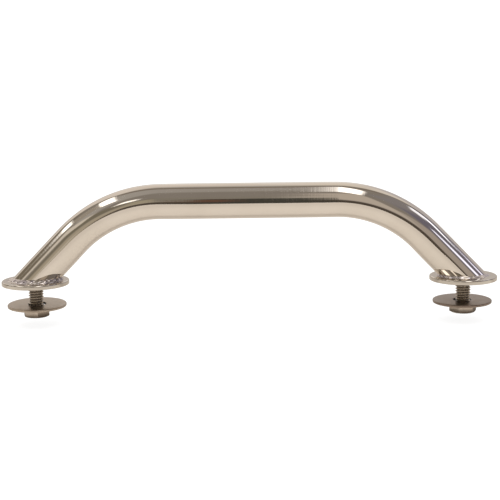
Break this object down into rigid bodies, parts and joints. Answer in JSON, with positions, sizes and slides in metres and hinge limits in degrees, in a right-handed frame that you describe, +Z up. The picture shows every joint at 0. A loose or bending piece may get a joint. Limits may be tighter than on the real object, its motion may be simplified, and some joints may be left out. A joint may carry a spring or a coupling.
{
  "type": "boat grab rail",
  "caption": "Low bent tube grab rail with sloping legs, round welded flanges, and hex bolts with wide backing washers that clamp it through a deck from below.",
  "frame": {"origin": "on the deck plane, which is the underside of both flanges, midway between the two bolts", "axes": "+X along the rail towards the right-hand flange, +Z up away from the deck, +Y across the rail"},
  "size_m": [0.2676, 0.0362, 0.0716],
  "materials": {
    "polished_stainless": "mirror polished",
    "weld_metal": "rippled weld, brushed clean",
    "machined_stainless": "machined and rolled thread, semi-bright",
    "satin_stainless": "satin, stamped from sheet"
  },
  "bodies": {
    "rail": {"rail_tube": "polished_stainless", "flange_left": "polished_stainless", "flange_right": "polished_stainless", "weld_bead_left": "weld_metal", "weld_bead_right": "weld_metal", "threaded_bush_left": "machined_stainless", "threaded_bush_right": "machined_stainless"},
    "washer_left": {"backing_washer_left": "satin_stainless"},
    "bolt_left": {"mounting_bolt_left": "machined_stainless"},
    "washer_right": {"backing_washer_right": "satin_stainless"},
    "bolt_right": {"mounting_bolt_right": "machined_stainless"}
  },
  "joints": [
    {"name": "left_bolt_travel", "type": "slide", "parent": "rail", "child": "washer_left", "axis": [0, 0, 1], "range_m": [-0.00494, 0.00353]},
    {"name": "left_bolt_turn", "type": "hinge", "parent": "washer_left", "child": "bolt_left", "pos_m": [-0.1156, 0, -0.0125], "axis": [0, 0, 1], "range_deg": [-1260, 900]},
    {"name": "right_bolt_travel", "type": "slide", "parent": "rail", "child": "washer_right", "axis": [0, 0, 1], "range_m": [-0.00494, 0.00353]},
    {"name": "right_bolt_turn", "type": "hinge", "parent": "washer_right", "child": "bolt_right", "pos_m": [0.1156, 0, -0.01275], "axis": [0, 0, 1], "range_deg": [-1260, 900]}
  ],
  "couplings": [
    {"joint": "left_bolt_travel", "follows": "left_bolt_turn", "m_per_rad": 0.00022458},
    {"joint": "right_bolt_travel", "follows": "right_bolt_turn", "m_per_rad": 0.00022458}
  ]
}
